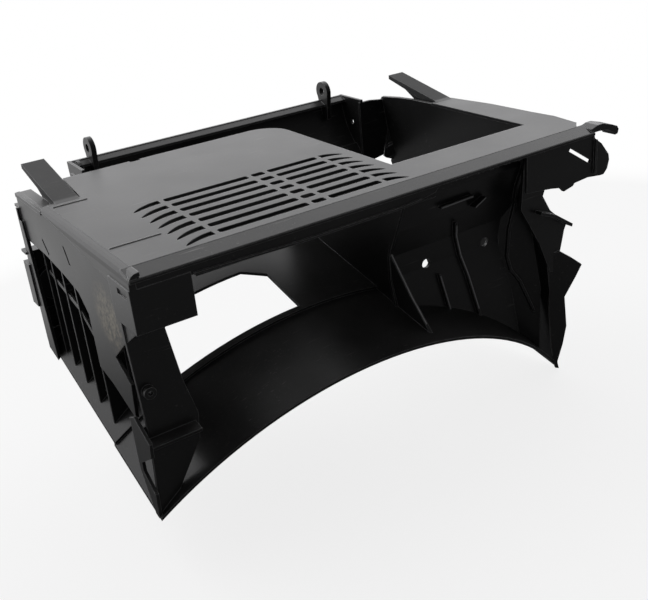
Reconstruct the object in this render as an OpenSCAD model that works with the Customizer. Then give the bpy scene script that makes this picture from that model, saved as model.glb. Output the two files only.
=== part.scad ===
// Moulded cover of a vehicle control panel, one piece of black plastic.
// The top plate is level at z = 0, the grille looks up, the long straight bar is at the front.
// Sizes are drawn from the front left corner of the top plate, x to the right, y to the back, z up.
// The finished part is moved so that the origin is the centre of the left ear's bore.

/* [Material] */
// general wall of the moulding
wall = 2.6; // [2:0.1:4]
// wall of the ribs
rib = 2; // [1.5:0.1:3]
// shade of the plastic
shade = 0.17; // [0.05:0.01:0.6]

/* [Top plate] */
// length of the front bar
bar_len = 400; // [380:1:420]
// depth of the bar, from the front edge to the well
bar_depth = 49.7; // [40:0.1:60]
// depth of the sloping strip along the front edge
bevel_depth = 13.5; // [8:0.5:20]
// drop of that strip
bevel_drop = 3.9; // [2:0.1:8]
// bottom of the front lip under the top plate
lip_bottom = 14; // [9:0.5:20]
// right end of the front lip
lip_end = 236; // [150:1:250]
// how far the lip stands back under the strip
lip_back = 1.6; // [0:0.1:4]
// right edge of the grille plate
plate_right = 234; // [225:1:245]
// rear edge of the grille plate
plate_back = 224; // [210:1:235]
// radius of the rear corner of the plate
plate_corner = 26; // [10:1:35]
// rolled left edge, width
roll_w = 7; // [4:0.5:10]
// rolled left edge, drop of the crease at the rear
roll_rear = 4; // [3:0.5:8]
// rolled left edge, drop of the crease at the front
roll_front = 19; // [12:0.5:24]
// width of the strip on the right of the well
strip_w = 28.5; // [20:0.5:40]
// rear end of the right strip
strip_back = 168; // [150:1:185]

/* [Grille] */
// number of slot rows
slot_rows = 7; // [3:1:9]
// pitch of the rows
slot_pitch = 14; // [10:0.5:16]
// centre of the front row
slot_first = 25; // [22:1:40]
// width of a slot
slot_w = 7; // [4:0.5:9]
// width of the web between two slots of a row
slot_web = 3.4; // [2:0.2:5]
// corner radius of a slot
slot_r = 2.2; // [0.5:0.1:3]
// the four webs of a row
web_1 = 71.8; // [65:0.1:80]
web_2 = 144.9; // [135:0.1:150]
web_3 = 159; // [155:0.1:170]
web_4 = 206.6; // [200:0.1:212]
// length of the curved end slots
horn_len = 24; // [14:1:28]
// length of the curved end slots on the right
horn_len_r = 17; // [10:1:22]
// forward sweep of the end slots
horn_drop = 8; // [2:0.5:12]

/* [Arched sheet] */
// tilt of the arch axis
arch_tilt = 14.04; // [10:0.01:18]
// centre of the arch across the part
arch_x = 183.7; // [170:0.1:195]
// centre of the arch below the top plate, in the tilted frame
arch_h = 426.4; // [400:0.1:450]
// inner radius of the arch
arch_r = 289; // [270:0.5:300]
// front edge of the arch band in the tilted frame
band_front = -19; // [-30:0.5:0]
// rear edge of the arch band in the tilted frame
band_back = 65; // [50:0.5:80]
// how far the arch reaches past the right end of the bar
arch_over = 5.5; // [0:0.5:10]
// right edge of the rear sheet
sheet_right = 248; // [240:0.5:256]
// window in the rear sheet, left, right, front, back
window_left = 26; // [20:0.5:40]
window_right = 168.5; // [150:0.5:180]
window_front = 67; // [66:0.5:80]
window_back = 132; // [120:0.5:140]

/* [Back] */
// rear face of the back wall
back_y = 248; // [240:0.5:255]
// right end of the back wall
back_right = 240; // [232:0.5:246]
// level of the ledge above the back wall
ledge_z = -65; // [-72:0.5:-58]
// radius of the rear half tube
tube_r = 65; // [58:0.5:72]
// axis of the half tube, depth and level
tube_y = 216.2; // [210:0.1:222]
tube_z = -4; // [-8:0.5:0]
// left end of the half tube
tube_left = 62; // [56:0.5:66]
// distance from the right end of the half tube to the right end of the bar
tube_gap = 52; // [45:0.5:65]
// lower edge of the half tube
tube_low = -52; // [-58:0.5:-46]

/* [Ears] */
// bore of the two hinge ears
ear_bore = 7.5; // [5:0.1:10]
// outer diameter of the ears
ear_d = 19; // [14:0.5:22]
// axis of the ears
ear_y = 275.6; // [270:0.1:280]
ear_z = 4.8; // [0:0.1:10]
// place of the left ear
ear_left = 81.3; // [76:0.1:90]
// distance from the right ear to the right end of the bar
ear_gap = 76.2; // [70:0.1:85]
// thickness of an ear
ear_t = 4.5; // [3:0.5:7]

/* [Right side] */
// lean of the right panel
panel_lean = 8.14; // [4:0.01:12]
// plane of the wall in front of the well, right end
well_front = 52; // [48:0.5:56]
// depth of that wall at its two holes
well_deep = 69.6; // [66:0.1:74]
// the two holes in that wall, diameter and level
well_hole = 8.5; // [5:0.5:12]
well_hole_z = -101.4; // [-110:0.1:-95]

/* [Left side] */
// depth of the pocket in the left end
pocket_depth = 26; // [18:1:34]
// outer face of the left flange
flange_x = 2; // [0:0.1:4]

/* [Hidden] */
$fn = 48;
arch_fn = 180;
eps = 0.6;
body_color = [shade, shade, shade * 1.03];
// places that follow from the sizes above
strip_inner = bar_len - strip_w;
arch_right = bar_len + arch_over;
tube_right = bar_len - tube_gap;
ear_right = bar_len - ear_gap;
right_shift = bar_len - 400;
// level of the arched sheet at its crown and at its two ends, against the drawn one
crown_drop = arch_h - arch_r - 137.4;
left_drop = arch_h - sqrt(arch_r * arch_r - arch_x * arch_x) - 203.3;
right_reach = arch_right - arch_x;
right_drop = arch_h - sqrt(arch_r * arch_r - right_reach * right_reach) - 241.1;
arch_turn = arch_tilt - 90;

// plate lying flat, drawn in x and y
module slab_z(z, t, pts) {
    translate([0, 0, z])
    linear_extrude(t)
    polygon(pts);
}

// plate facing the front, drawn in x and z
module slab_y(y, t, pts) {
    translate([0, y + t, 0])
    rotate([90, 0, 0])
    linear_extrude(t)
    polygon(pts);
}

// plate facing the side, drawn in y and z
module slab_x(x, t, pts) {
    translate([x, 0, 0])
    rotate([90, 0, 90])
    linear_extrude(t)
    polygon(pts);
}

// bore along y
module bore_y(x, y, z, d, len) {
    translate([x, y, z])
    rotate([-90, 0, 0])
    cylinder(d = d, h = len);
}

// disc or bore along x
module disc_x(x, y, z, d, len) {
    translate([x, y, z])
    rotate([0, 90, 0])
    cylinder(d = d, h = len);
}

// ---- top plate ----

module plate_outline() {
    left = roll_w - eps;
    union() {
        difference() {
            polygon([
                [left, bevel_depth - eps],
                [bar_len - 8, bevel_depth - eps],
                [bar_len + 2, bar_depth - 28],
                [bar_len + 6, bar_depth],
                [bar_len + 4, bar_depth + 24],
                [bar_len + 2, bar_depth + 72],
                [bar_len - 5, strip_back],
                [strip_inner, strip_back],
                [strip_inner, bar_depth],
                [plate_right, bar_depth],
                [plate_right, plate_back - plate_corner],
                [plate_right - plate_corner, plate_back],
                [38, plate_back],
                [32, strip_back],
                [left, strip_back]]);
            translate([99 - 4, plate_back - 3])
            square([9, 10]);
        }
        translate([plate_right - plate_corner, plate_back - plate_corner])
        circle(r = plate_corner, $fn = 96);
    }
}

// tapered slot that sweeps forward, for one end of a row
module horn(len, dir) {
    steps = 8;
    half = slot_w / 2;
    upper = [for (i = [0:steps])
        let (u = i / steps)
        [dir * len * u, half * sqrt(1 - u * u) - horn_drop * u * u]];
    lower = [for (i = [steps - 1:-1:0])
        let (u = i / steps)
        [dir * len * u, -half * sqrt(1 - u * u) - horn_drop * u * u]];
    polygon(concat(upper, lower));
}

module slot_run(x0, x1) {
    a = x0 + slot_web / 2;
    b = x1 - slot_web / 2;
    h = slot_w / 2;
    union() {
        translate([a + slot_r, -h])
        square([b - a - 2 * slot_r, slot_w]);
        translate([a, -h + slot_r])
        square([b - a, slot_w - 2 * slot_r]);
        for (x = [a + slot_r, b - slot_r])
            for (y = [-h + slot_r, h - slot_r])
                translate([x, y])
                circle(r = slot_r, $fn = 16);
    }
}

module grille_cut() {
    for (i = [0:slot_rows - 1])
        translate([0, slot_first + i * slot_pitch, -wall - 1])
        linear_extrude(wall + 2) {
            slot_run(web_1, web_2);
            slot_run(web_2, web_3);
            slot_run(web_3, web_4);
            translate([web_1 - slot_web / 2, 0])
            horn(horn_len, -1);
            translate([web_4 + slot_web / 2, 0])
            horn(horn_len_r, 1);
        }
}

module top_plate() {
    difference() {
        translate([0, 0, -wall])
        linear_extrude(wall)
        plate_outline();
        grille_cut();
    }
    // low beads where the plate meets the bar and the tab
    translate([roll_w + 1, bar_depth - 0.6, -0.5])
    cube([36, 1.2, 0.95]);
    translate([roll_w + 1, strip_back - 10, -0.5])
    cube([26, 1.2, 0.95]);
}

module front_bar() {
    // sloping strip along the front edge
    slab_x(0, bar_len, [
        [bevel_depth, 0],
        [0.8, -bevel_drop + 0.1],
        [0, -bevel_drop - 0.6],
        [0, -bevel_drop - 2.3],
        [wall, -bevel_drop - 2.6],
        [bevel_depth + 1.2, -wall + 0.4]]);
    // lip that stands back under the strip, cut low at its right end
    slab_y(lip_back, 2, [
        [2, -bevel_drop - 1],
        [2, -lip_bottom + 2],
        [42, -lip_bottom + 1],
        [120, -lip_bottom - 1],
        [lip_end - 30, -lip_bottom - 0.6],
        [lip_end - 12, -lip_bottom + 1],
        [lip_end, -lip_bottom + 3],
        [lip_end + 6, -bevel_drop - 1]]);
    // bead along the lower edge of the lip
    slab_y(0, 7, [
        [42, -lip_bottom + 1],
        [120, -lip_bottom - 1],
        [lip_end - 30, -lip_bottom - 0.6],
        [lip_end - 14, -lip_bottom + 1],
        [lip_end - 14, -lip_bottom + 2.4],
        [lip_end - 30, -lip_bottom + 0.9],
        [120, -lip_bottom + 0.5],
        [42, -lip_bottom + 2.5]]);
    // corner at the right end of the bar
    slab_z(-lip_bottom + 4, lip_bottom - bevel_drop - 4, [
        [bar_len - 1, 0],
        [bar_len + 2, 3],
        [bar_len + 5, 30],
        [bar_len + 2, 30],
        [bar_len - 1, 4]]);
    // fin that springs from the right end of the bar
    slab_y(2, 13, [
        [bar_len - 2, -4.6],
        [bar_len - 2, -1.4],
        [bar_len + 5, 0.6],
        [bar_len + 11, 0.6],
        [bar_len + 22, -2.6],
        [bar_len + 28, -5],
        [bar_len + 30, -8],
        [bar_len + 29, -11.4],
        [bar_len + 26, -12],
        [bar_len + 24, -9.4],
        [bar_len + 16, -5.4],
        [bar_len + 6, -4.6]]);
}

module left_roll() {
    // rolled edge of the plate, cut off along a crease that falls to the front
    intersection() {
        slab_y(1, strip_back - 1, [
            [roll_w + 0.4, 0],
            [roll_w * 0.55, -0.5],
            [roll_w * 0.25, -1.7],
            [0.2, -3.8],
            [-0.6, -6.4],
            [-0.8, -12],
            [-0.4, -24],
            [flange_x + wall - 0.5, -24],
            [flange_x + wall - 0.7, -6.4],
            [roll_w * 0.7, -wall - 0.6],
            [roll_w + 0.4, -wall]]);
        slab_x(-3, roll_w + 8, [
            [0, 2],
            [strip_back + 1, 2],
            [strip_back + 1, -roll_rear],
            [118, -roll_rear - 2.4],
            [92, -roll_rear - 5],
            [66, -roll_front + 6.6],
            [46, -roll_front + 4.2],
            [28, -roll_front + 2],
            [0, -roll_front]]);
    }
}

module tab(x0, x1, rise) {
    // springing tab that slopes up behind the plate, with a web under it
    base = strip_back - 4;
    end = 237.5;
    slab_x(x0, x1 - x0, [
        [base, -wall],
        [base, 0],
        [end, rise],
        [end, rise - wall - 1],
        [base + 14, -wall - 1]]);
    for (x = [x0 + 1, x1 - 1 - rib])
        slab_x(x, rib, [
            [base - 20, -1],
            [base + 4, 0],
            [end - 14, rise - 5],
            [base + 30, -6],
            [base - 20, -11]]);
}

// ---- arched sheet ----

module arch_frame() {
    rotate([arch_turn, 0, 0])
    children();
}

// part of a tube, cut out by an outline in x and s
module arch_piece(r, t, pts) {
    s_lo = -60;
    s_len = 340;
    arch_frame()
    intersection() {
        translate([arch_x, arch_h, s_lo])
        difference() {
            cylinder(r = r + t, h = s_len, $fn = arch_fn);
            translate([0, 0, -1])
            cylinder(r = r, h = s_len + 2, $fn = arch_fn);
        }
        translate([0, arch_h - 140, 0])
        rotate([90, 0, 0])
        linear_extrude(180)
        polygon(pts);
    }
}

// everything under the arch, used to trim the upright walls
module arch_core(r) {
    arch_frame()
    translate([arch_x, arch_h, -80])
    cylinder(r = r, h = 400, $fn = arch_fn);
}

module arch_band() {
    arch_piece(arch_r, wall, [
        [0, band_front],
        [arch_right, band_front],
        [arch_right, band_front + 3],
        [bar_len - 20, 4],
        [bar_len - 48, 24],
        [sheet_right, 30],
        [sheet_right, band_back],
        [1, band_back]]);
}

module rear_sheet() {
    intersection() {
        difference() {
            arch_piece(arch_r + wall - 0.2, wall, [
                [1, band_back - 3],
                [sheet_right, band_back - 3],
                [back_right, 228],
                [3, 214]]);
            arch_window();
            sheet_slit();
        }
        translate([-20, 0, -300])
        cube([bar_len, back_y, 320]);
    }
}

module arch_window() {
    arch_frame()
    translate([0, arch_h - 140, 0])
    rotate([90, 0, 0])
    linear_extrude(180)
    polygon([
        [window_left + 5, window_front + 2],
        [window_right, window_front],
        [window_right, window_back - 15],
        [window_right - 17, window_back + 0.6],
        [110, window_back + 4],
        [60, window_back + 7],
        [window_left + 4, window_back + 11],
        [window_left - 2, window_back + 6]]);
}

module sheet_slit() {
    translate([17, 221, -190])
    cube([1.6, 40, 80]);
}

// ---- back ----

module back_wall() {
    difference() {
        slab_y(back_y - wall, wall, [
            [2, ledge_z + 2],
            [2, -150 - left_drop],
            [60, -135 - crown_drop],
            [back_right, -135 - crown_drop],
            [back_right, ledge_z + 2]]);
        arch_core(arch_r + wall + 0.6);
        bore_y(72, back_y - 6, -79, 16, 10);
        bore_y(14, back_y - 6, -85, 24, 10);
        bore_y(203, back_y - 6, -75, 4, 10);
    }
    // box in the right corner of the back wall
    difference() {
        translate([217, back_y - wall, -90])
        cube([back_right - 217, 9, 26]);
        translate([217 + rib, back_y - 4, -91])
        cube([back_right - 217 - 2 * rib, 11, 25]);
        arch_core(arch_r + wall + 0.6);
    }
}

module half_tube() {
    difference() {
        intersection() {
            disc_x(tube_left, tube_y, tube_z, tube_r * 2, tube_right - tube_left, $fn = 120);
            slab_x(tube_left - 1, tube_right - tube_left + 2, [
                [back_y, tube_low],
                [tube_y + tube_r + 20, tube_low],
                [tube_y + tube_r + 20, tube_z],
                [back_y, tube_z]]);
        }
        disc_x(tube_left - 1, tube_y, tube_z, (tube_r - wall) * 2, tube_right - tube_left + 2);
        // slot near the right end
        translate([276, 250, -56.6])
        rotate([0, 0, -2])
        cube([19, 30, 3]);
    }
}

module tube_rim() {
    // rim that slopes inwards along the top of the half tube
    y1 = tube_y + tube_r;
    slab_x(tube_left, tube_right - tube_left, [
        [y1 - 1, tube_z],
        [y1 - 9, tube_z - 3.4],
        [y1 - 9.6, tube_z - 5.4],
        [y1 - 3, tube_z - 5]]);
}

module tube_ends() {
    // closing ribs at both ends of the half tube
    for (x = [tube_left - 1, tube_right - wall + 0.7])
        difference() {
            intersection() {
                translate([x, tube_y, tube_z])
                rotate([0, 90, 0])
                cylinder(r = tube_r + 1, h = wall, $fn = 120);
                slab_x(x - 1, wall + 2, [
                    [back_y - wall, ledge_z],
                    [300, ledge_z + 14],
                    [300, tube_z],
                    [back_y - wall, tube_z]]);
            }
            disc_x(x - 1, 262, -28, 5, wall + 2);
        }
}

module ledge() {
    // sloping ledge between the back wall and the half tube
    difference() {
        slab_x(tube_left, tube_right - tube_left, [
            [back_y - wall, ledge_z],
            [back_y, ledge_z],
            [262, tube_low - 1],
            [262, tube_low + 3],
            [257, tube_low + 3],
            [back_y - wall, ledge_z + 3]]);
        bore_y(130, back_y - 10, -60, 7, 30);
        translate([276, 250, -56.6])
        cube([19, 30, 3]);
    }
    // inner skin that ties the ledge to the underside of the tube
    slab_x(tube_left, tube_right - tube_left, [
        [back_y - wall, ledge_z],
        [back_y, ledge_z],
        [back_y, ledge_z + 6],
        [back_y - wall, ledge_z + 6]]);
}

module ear(x) {
    difference() {
        union() {
            disc_x(x - ear_t / 2, ear_y, ear_z, ear_d, ear_t);
            slab_x(x - ear_t / 2, ear_t, [
                [ear_y - ear_d / 2, ear_z],
                [ear_y + ear_d / 2, ear_z],
                [tube_y + tube_r - 2.4, tube_z - 12],
                [tube_y + tube_r - 12, tube_z - 18]]);
        }
        disc_x(x - ear_t, ear_y, ear_z, ear_bore, ear_t * 2);
    }
}

module left_ear_boss() {
    // second ear beside the left one, with its own bore lower down
    difference() {
        union() {
            disc_x(67, 276, -14, 20, rib + 1);
            slab_x(67, rib + 1, [
                [262, -36],
                [281, -30],
                [284, -14],
                [268, -6]]);
        }
        disc_x(64, 278, -16, 8, 10);
    }
}

// ---- well and right side ----

module well_left_wall() {
    lean = 6;
    difference() {
        translate([plate_right - wall, 0, 0])
        rotate([0, -lean, 0])
        slab_x(0, wall, [
            [41, -1],
            [41, -34],
            [51, -52],
            [67, -81],
            [47, -114],
            [20, -150 - crown_drop],
            [back_y - 1, -150 - crown_drop],
            [back_y - 1, ledge_z],
            [plate_back - plate_corner - 2, ledge_z + 10],
            [plate_back - plate_corner - 2, -1]]);
        arch_core(arch_r + 1);
    }
}

// profile of the main wall in depth and height, moved back by t
function well_line(t) = [
    [well_front - 2 + t, -1],
    [well_front - 2 + t, -34],
    [well_front + 6 + t, -60],
    [well_deep - 2 + t, -84],
    [well_deep + t, -104],
    [well_deep - 7 + t, -158],
    [well_deep - 13 + t, -230 - crown_drop]];

// the same points from the bottom to the top
function turned(pts) = [for (i = [len(pts) - 1:-1:0]) pts[i]];

// everything in front of the middle of the main wall
module well_side() {
    slab_x(plate_right - 10, bar_len - plate_right + 40, concat(
        [[-40, -1]],
        well_line(wall * 0.6),
        [[-40, -230 - crown_drop]]));
}

module well_front_wall() {
    r = right_shift;
    d = well_deep;
    difference() {
        union() {
            // main wall, bent in profile
            intersection() {
                slab_x(plate_right - 4, bar_len - plate_right + 20, concat(
                    well_line(0),
                    turned(well_line(wall))));
                slab_y(well_front - 20, 60, [
                    [plate_right - 1, -1],
                    [plate_right + 4, -60],
                    [plate_right + 13, -190 - crown_drop],
                    [380.6 + r, -230 - crown_drop],
                    [370.6 + r, -158],
                    [365 + r, -104],
                    [364.8 + r, -87],
                    [388 + r, -51],
                    [372 + r, -1]]);
            }
            // right end of the wall, turned forward to the right panel
            intersection() {
                translate([360 + r, 68.8, -240 - right_drop])
                rotate([0, 0, -29.2])
                cube([38.5, wall, 200 + right_drop]);
                well_side();
            }
            // ribs on the front of the wall
            intersection() {
                union() {
                    slab_y(well_front - 12, 50, [
                        [302, -68.6],
                        [304.4, -68.6],
                        [321.2, -123.9],
                        [337, -195.6 - crown_drop],
                        [334.6, -195.6 - crown_drop],
                        [318.8, -123.9]]);
                    slab_y(well_front - 12, 50, [
                        [288.7, -113.7],
                        [290.7, -113.7],
                        [297.9, -150.6],
                        [295.9, -150.6]]);
                    translate([r, 0, 0])
                    slab_y(well_front - 12, 50, [
                        [368, -6],
                        [370.5, -6],
                        [370, -34],
                        [368, -54],
                        [370, -66],
                        [373, -71],
                        [371, -71],
                        [368, -66],
                        [366, -54],
                        [368, -34]]);
                }
                slab_x(plate_right, bar_len - plate_right + 20, concat(
                    well_line(-3.4),
                    turned(well_line(wall * 0.6))));
            }
            // rib on the turned end
            intersection() {
                translate([360 + r, 68.8, -240 - right_drop])
                rotate([0, 0, -29.2])
                translate([0, -2.4, 0])
                cube([38.5, 2.4 + wall * 0.6, 200 + right_drop]);
                translate([r, 0, 0])
                slab_y(well_front - 12, 40, [
                    [372.8, -70.9],
                    [368, -95.3],
                    [366.6, -120.9],
                    [369.4, -133],
                    [376.6, -145],
                    [388.4, -178],
                    [386.4, -178],
                    [374.6, -145.6],
                    [367.4, -134],
                    [364.6, -120.9],
                    [366, -95.3],
                    [370.8, -70.9]]);
            }
        }
        arch_core(arch_r + 1);
        bore_y(278.7, d - 6, well_hole_z, well_hole, 14);
        bore_y(343.9 + r, d - 6, well_hole_z, well_hole, 14);
        // behind the right panel nothing of the wall goes on
        translate([strip_inner + wall * 0.5, 20, 0])
        rotate([0, -panel_lean, 0])
        translate([0, 0, -300])
        cube([60, 80, 299]);
    }
    // two short ridges near the top of the wall
    slab_y(well_front - 2, 6, [
        [281, -49],
        [281, -47],
        [315.4, -46],
        [315.4, -48]]);
    slab_y(well_front - 2, 7.7, [
        [316, -57.4],
        [318, -58],
        [330, -51.8],
        [328, -51.2]]);
}

module right_panel() {
    c = cos(panel_lean);
    d = right_drop;
    difference() {
        translate([strip_inner, 0, 0])
        rotate([0, -panel_lean, 0])
        slab_x(0, wall, [
            [bar_depth, -1],
            [well_front, -50 / c],
            [well_front - 3, -72 / c],
            [39.2, -82 / c],
            [39.2, -200 / c],
            [40.4, (-238.5 - d) / c],
            [145, (-210 - d) / c],
            [206, (-191.4 - d) / c],
            [215.4, (-185.8 - d) / c],
            [221.3, -170 / c],
            [223, -147 / c],
            [226, -119 / c],
            [228, -104 / c],
            [243, -100 / c],
            [250, -75 / c],
            [247, -69 / c],
            [240, -60 / c],
            [244, -42 / c],
            [255, -33 / c],
            [258, -24 / c],
            [252, -12 / c],
            [246, -6 / c],
            [220, -3 / c],
            [196, -1.4],
            [strip_back, -1]]);
    }
    // front flange on the right of the panel
    slab_y(38, wall, [
        [strip_inner - 10, -8],
        [strip_inner + 12, -8],
        [384 + right_shift, -57],
        [382 + right_shift, -62],
        [385 + right_shift, -67],
        [391 + right_shift, -77],
        [400 + right_shift, -85],
        [412 + right_shift, -94],
        [409 + right_shift, -100],
        [406 + right_shift, -113],
        [404 + right_shift, -121],
        [400 + right_shift, -136],
        [393 + right_shift, -136],
        [379 + right_shift, -105],
        [366 + right_shift, -83],
        [357 + right_shift, -68]]);
    // small ledge on the flange
    slab_y(31, 8, [
        [374 + right_shift, -72.4],
        [391 + right_shift, -79.4],
        [412 + right_shift, -93.4],
        [411 + right_shift, -96],
        [390 + right_shift, -82],
        [373 + right_shift, -75]]);
    // lower end of the flange, turned towards the front
    translate([396 + right_shift, 38, 0])
    rotate([0, 0, -25])
    slab_y(0, wall, [
        [-3, -118],
        [6.4, -118.2],
        [17.4, -125.9],
        [26.8, -133.5],
        [21.4, -145],
        [11.7, -163.2],
        [13, -178],
        [14.3, -193],
        [11.3, -211.4 - d * 0.5],
        [6.5, -229.7 - d],
        [8.2, -237 - d],
        [4.8, -236 - d],
        [0.4, -213.5 - d * 0.5],
        [-2.6, -175.8],
        [-3, -139.8]]);
}

module right_bracket() {
    // upright bracket under the right end of the bar
    difference() {
        slab_y(1, wall, [
            [326, -bevel_drop - 1],
            [326, -36],
            [345, -38],
            [353, -39],
            [363, -41],
            [367, -45],
            [377, -43],
            [379, -41],
            [394, -40],
            [409, -42],
            [413, -42],
            [417, -38],
            [419, -31],
            [418, -26],
            [409, -15],
            [401, -9],
            [400, -bevel_drop - 1]]);
        translate([371.5, -2, -13])
        rotate([0, 33, 0])
        cube([29, 8, 3]);
    }
    // ribs that stiffen the bracket
    translate([400, -1.2, -38])
    cube([rib, 3, 28]);
    translate([360, 1, -38])
    cube([rib, 39, 30]);
}

module rear_link() {
    // flat wall from the half tube to the right panel
    slab_y(back_y - wall, wall, [
        [tube_right - 3, ledge_z - 1],
        [tube_right + 7, ledge_z - 2],
        [tube_right + 22, ledge_z + 0.5],
        [tube_right + 29, -38],
        [tube_right + 27.5, -9],
        [tube_right + 10, -6.5],
        [tube_right - 3, -6.5]]);
}

// ---- left end ----

module left_flange() {
    x0 = flange_x;
    difference() {
        slab_x(x0, wall, [
            [2, -roll_front + 3],
            [28, -roll_front + 5],
            [46, -roll_front + 7],
            [66, -roll_front + 9],
            [92, -roll_rear - 2],
            [118, -roll_rear + 1],
            [strip_back, -2],
            [232, -4],
            [240, -31],
            [227, -44],
            [189, -44],
            [148, -48],
            [120, -53],
            [106, -65],
            [106, -108],
            [83, -112],
            [48, -124 - left_drop * 0.5],
            [44, -96],
            [65, -83],
            [42, -65],
            [12, -45],
            [2, -40]]);
        // slots near the rear end of the flange
        slab_x(x0 - 1, wall + 2, [
            [125, -34],
            [132, -21],
            [135, -21],
            [128, -34]]);
        slab_x(x0 - 1, wall + 2, [
            [176, -40],
            [186, -30],
            [188, -32],
            [178, -42]]);
    }
    // thin crest along the top of the flange
    slab_x(0, 13, [
        [strip_back - 1, -3],
        [strip_back - 1, -6],
        [230, -6.8],
        [230, -3.8]]);
    // long slot behind the front corner
    difference() {
        slab_x(x0 - 0.5, wall, [
            [1.5, -8],
            [30, -10],
            [30, -34],
            [1.5, -34]]);
        slab_x(x0 - 3, wall + 6, [
            [6, -11],
            [21, -15],
            [21, -18],
            [6, -14]]);
    }
}

module pocket() {
    // inner wall of the left pocket with its ribs
    difference() {
        union() {
            slab_x(pocket_depth, wall, [
                [36, -1],
                [36, -150 - left_drop],
                [back_y - 8, -150 - left_drop],
                [back_y - 8, -28],
                [plate_back, -10],
                [plate_back, -wall + 1],
                [strip_back, -1]]);
            for (y = [120, 146, 172, 196, 214])
                slab_y(y, rib, [
                    [7, -48],
                    [pocket_depth + 1, -8],
                    [pocket_depth + 1, -190 - left_drop],
                    [7, -190 - left_drop]]);
            // long rib rising to the back
            slab_x(8, rib, [
                [112, -103],
                [112, -99],
                [150, -77],
                [212, -67],
                [212, -70],
                [150, -81]]);
            // rear post of the left end
            slab_x(0, wall, [
                [219, -150 - left_drop],
                [236, -150 - left_drop],
                [237, -28],
                [230, -28]]);
        }
        arch_core(arch_r + wall + 1);
        arch_window();
    }
}

module left_column() {
    // block under the front left corner
    difference() {
        translate([-1.5, 1, -40.5])
        cube([41.5, 34, 30]);
        translate([-1.5 + wall, 1 + wall, -40.5 + wall])
        cube([41.5 - 2 * wall, 40, 40]);
        translate([-5, 6, -18])
        cube([9, 15, 4]);
    }
    // upright column down to the left tip
    difference() {
        union() {
            slab_y(33, wall, [
                [0, -12],
                [40, -12],
                [30, -42],
                [29, -58],
                [35, -100],
                [42, -129],
                [40, -150 - left_drop * 0.5],
                [19, -183 - left_drop],
                [0.5, -202 - left_drop],
                [4, -137],
                [1, -58]]);
            // outer side of the column, with a nose towards the front
            slab_x(-1, wall, [
                [32, -202 - left_drop],
                [30, -178 - left_drop * 0.5],
                [46, -167 - left_drop * 0.5],
                [46, -159],
                [24, -144],
                [22, -132],
                [44, -120],
                [52, -124],
                [52, -166 - left_drop * 0.5],
                [36, -201 - left_drop]]);
            slab_y(33, 14, [
                [27, -58],
                [29, -58],
                [35, -100],
                [42, -129],
                [40, -129],
                [33, -100]]);
            bore_y(9, 28, -98, 9, 6);
            // shelf above the lit lower facet
            slab_x(-1, 40, [
                [24, -139],
                [23, -136],
                [46, -132],
                [46, -135]]);
        }
        bore_y(36, 30, -140, 5, 10);
        bore_y(9, 25, -98, 3.4, 14);
        arch_core(arch_r + wall - 0.4);
    }
}

module left_socket() {
    // rear wall of the left end
    difference() {
        slab_y(back_y - 12, wall, [
            [0, -18],
            [0, -190 - left_drop],
            [60, -160 - crown_drop],
            [60, -6],
            [31, -6],
            [31, -18]]);
        arch_core(arch_r + wall + 1);
        bore_y(14, back_y - 20, -85, 24, 20);
        translate([4, back_y - 20, -56])
        cube([24, 20, 34]);
        translate([4, back_y - 20, -128])
        cube([16, 20, 20]);
    }
    // square socket with a round opening
    difference() {
        translate([-1.5, back_y - 12, -105])
        cube([31, 14, 38]);
        bore_y(14, back_y - 20, -85, 24, 30);
    }
    // round cup behind the opening
    difference() {
        bore_y(14, back_y - 20, -85, 24 + 2 * rib, 18);
        bore_y(14, back_y - 20 + rib, -85, 24, 30);
    }
    // shelf between the socket and the lower pocket
    translate([-1.5, back_y - 12, -58])
    cube([32, 12, rib]);
    // side of the lower pocket
    translate([30, back_y - 12, -68])
    cube([rib, 14, 60]);
    // lower shelf
    translate([2.4, back_y - 22, -20])
    cube([58.1, 24, rib]);
    translate([2.4, back_y - 22, -20])
    cube([rib, 12, 14]);
    // step from the left rear wall to the back wall
    difference() {
        translate([58, back_y - 12, -130 - crown_drop])
        cube([rib, 12, 120 + crown_drop]);
        arch_core(arch_r + wall + 1);
    }
}

module boss_plate() {
    difference() {
        union() {
            translate([31, back_y - 12, -76])
            cube([23, 18, 28]);
            // boss that tapers down to the shelf
            slab_y(back_y - 12, 16, [
                [33, -50],
                [52, -50],
                [47, -20],
                [35, -20]]);
        }
        translate([31 + rib, back_y - 13, -76 + rib])
        cube([23 - 2 * rib, 16, 24]);
        bore_y(39.4, back_y - 14, -51.6, 8, 30);
    }
    // upright rib between the boss and the half tube
    translate([54.2, back_y - 2, -62])
    cube([rib, 10, 55]);
}

module panel_cover() {
    color(body_color)
    translate([-ear_left, -ear_y, -ear_z]) {
        top_plate();
        front_bar();
        left_roll();
        tab(11.7, 30.4, 15.4);
        tab(376 + right_shift, 393 + right_shift, 15.4);
        arch_band();
        rear_sheet();
        back_wall();
        half_tube();
        tube_rim();
        tube_ends();
        ledge();
        ear(ear_left);
        ear(ear_right);
        left_ear_boss();
        well_left_wall();
        well_front_wall();
        right_panel();
        translate([right_shift, 0, 0])
        right_bracket();
        rear_link();
        left_flange();
        pocket();
        left_column();
        left_socket();
        boss_plate();
    }
}

panel_cover();
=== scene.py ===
# %% [markdown]
# # A moulded panel cover in black plastic
# The real object is one injection moulding: a flat slotted plate, a long bar, an open well and an arched
# sheet below, all in the same black plastic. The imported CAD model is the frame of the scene. It is loaded
# first and never moved, and everything that follows is placed in its coordinates, in metres.

import bmesh
import bpy
from mathutils import Matrix, Vector


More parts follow.
